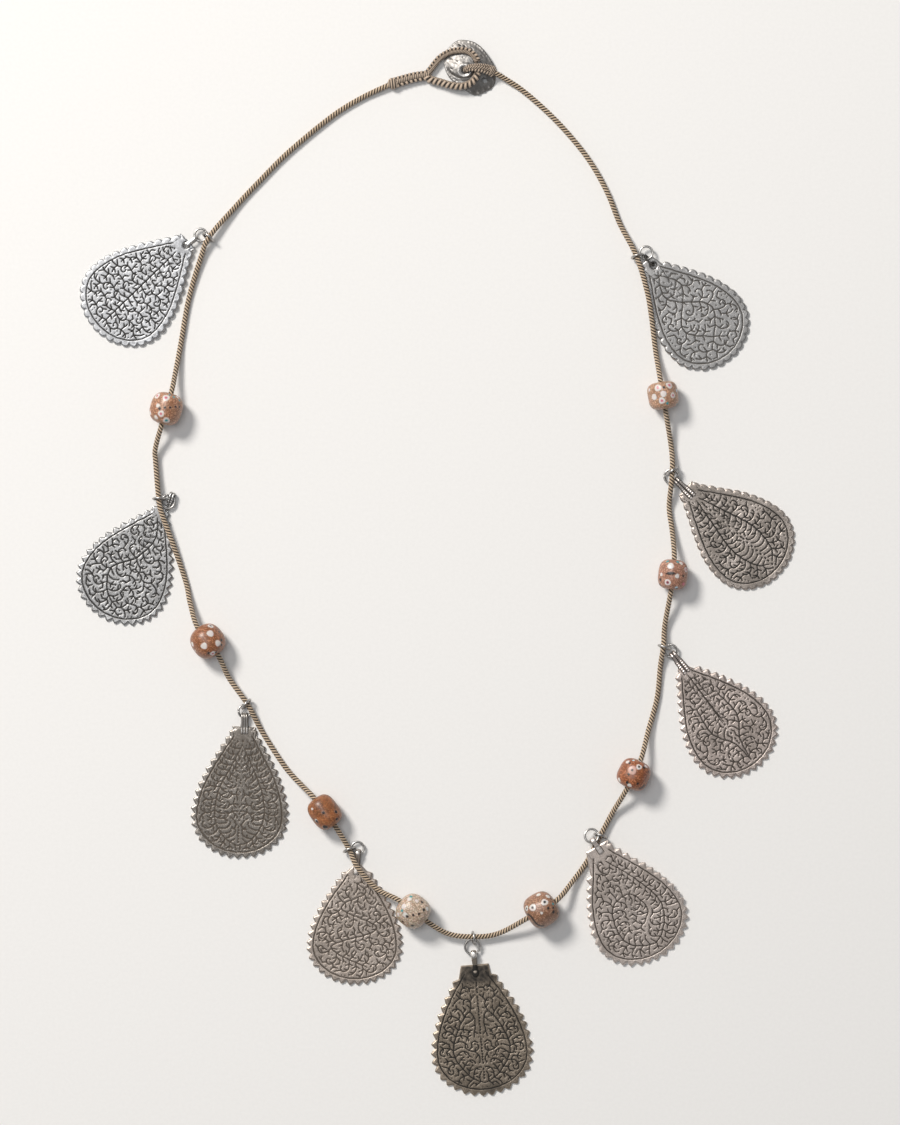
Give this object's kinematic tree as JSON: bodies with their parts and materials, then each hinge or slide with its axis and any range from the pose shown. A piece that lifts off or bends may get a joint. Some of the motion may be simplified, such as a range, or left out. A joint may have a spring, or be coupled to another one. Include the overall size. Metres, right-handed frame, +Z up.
{
  "type": "charm necklace",
  "caption": "Twisted-cord necklace laid out as a loop, with teardrop silver charms on jump rings, spotted glass beads and a loop and button clasp.",
  "frame": {"origin": "on the surface that the necklace lies on, below the centre of its outline without the cord", "axes": "+Y towards the clasp, along the loop's length; +X to the right with the clasp at the top; +Z up from the surface"},
  "size_m": [0.2398, 0.352, 0.0116],
  "materials": {
    "silver_bright": "worn bright silver plate with dark patina in the engraving",
    "silver_grey": "aged grey silver plate with dark patina in the engraving",
    "silver_dark": "tarnished silver plate, dark patina",
    "ring_silver": "drawn silver wire, lightly tarnished",
    "bead_taupe": "glossy opaque taupe-pink glass with white and pink spots",
    "bead_amber": "glossy amber-brown glass with dark spots",
    "bead_pale": "glossy pale beige glass with dark spots",
    "clasp_silver": "worn domed silver button",
    "cord_twist": "beige twisted cord with dark brown creases"
  },
  "bodies": {
    "root": {"charm_1": "silver_bright", "charm_2": "silver_bright", "charm_3": "silver_grey", "charm_4": "silver_grey", "charm_5": "silver_dark", "charm_6": "silver_grey", "charm_7": "silver_grey", "charm_8": "silver_dark", "charm_9": "silver_bright", "bail_ring_1": "ring_silver", "bail_ring_2": "ring_silver", "bail_ring_3": "ring_silver", "bail_ring_4": "ring_silver", "bail_ring_5": "ring_silver", "bail_ring_6": "ring_silver", "bail_ring_7": "ring_silver", "bail_ring_8": "ring_silver", "bail_ring_9": "ring_silver", "cord_ring_1": "ring_silver", "cord_ring_2": "ring_silver", "cord_ring_3": "ring_silver", "cord_ring_4": "ring_silver", "cord_ring_5": "ring_silver", "cord_ring_6": "ring_silver", "cord_ring_7": "ring_silver", "cord_ring_8": "ring_silver", "cord_ring_9": "ring_silver", "tip_link_1": "ring_silver", "tip_link_9": "ring_silver", "bead_1": "bead_taupe", "bead_2": "bead_taupe", "bead_3": "bead_amber", "bead_4": "bead_pale", "bead_5": "bead_taupe", "bead_6": "bead_taupe", "bead_7": "bead_taupe", "bead_8": "bead_taupe", "clasp_button": "clasp_silver", "clasp_loop": "cord_twist", "clasp_shank": "cord_twist", "cord": "cord_twist"}
  },
  "joints": []
}
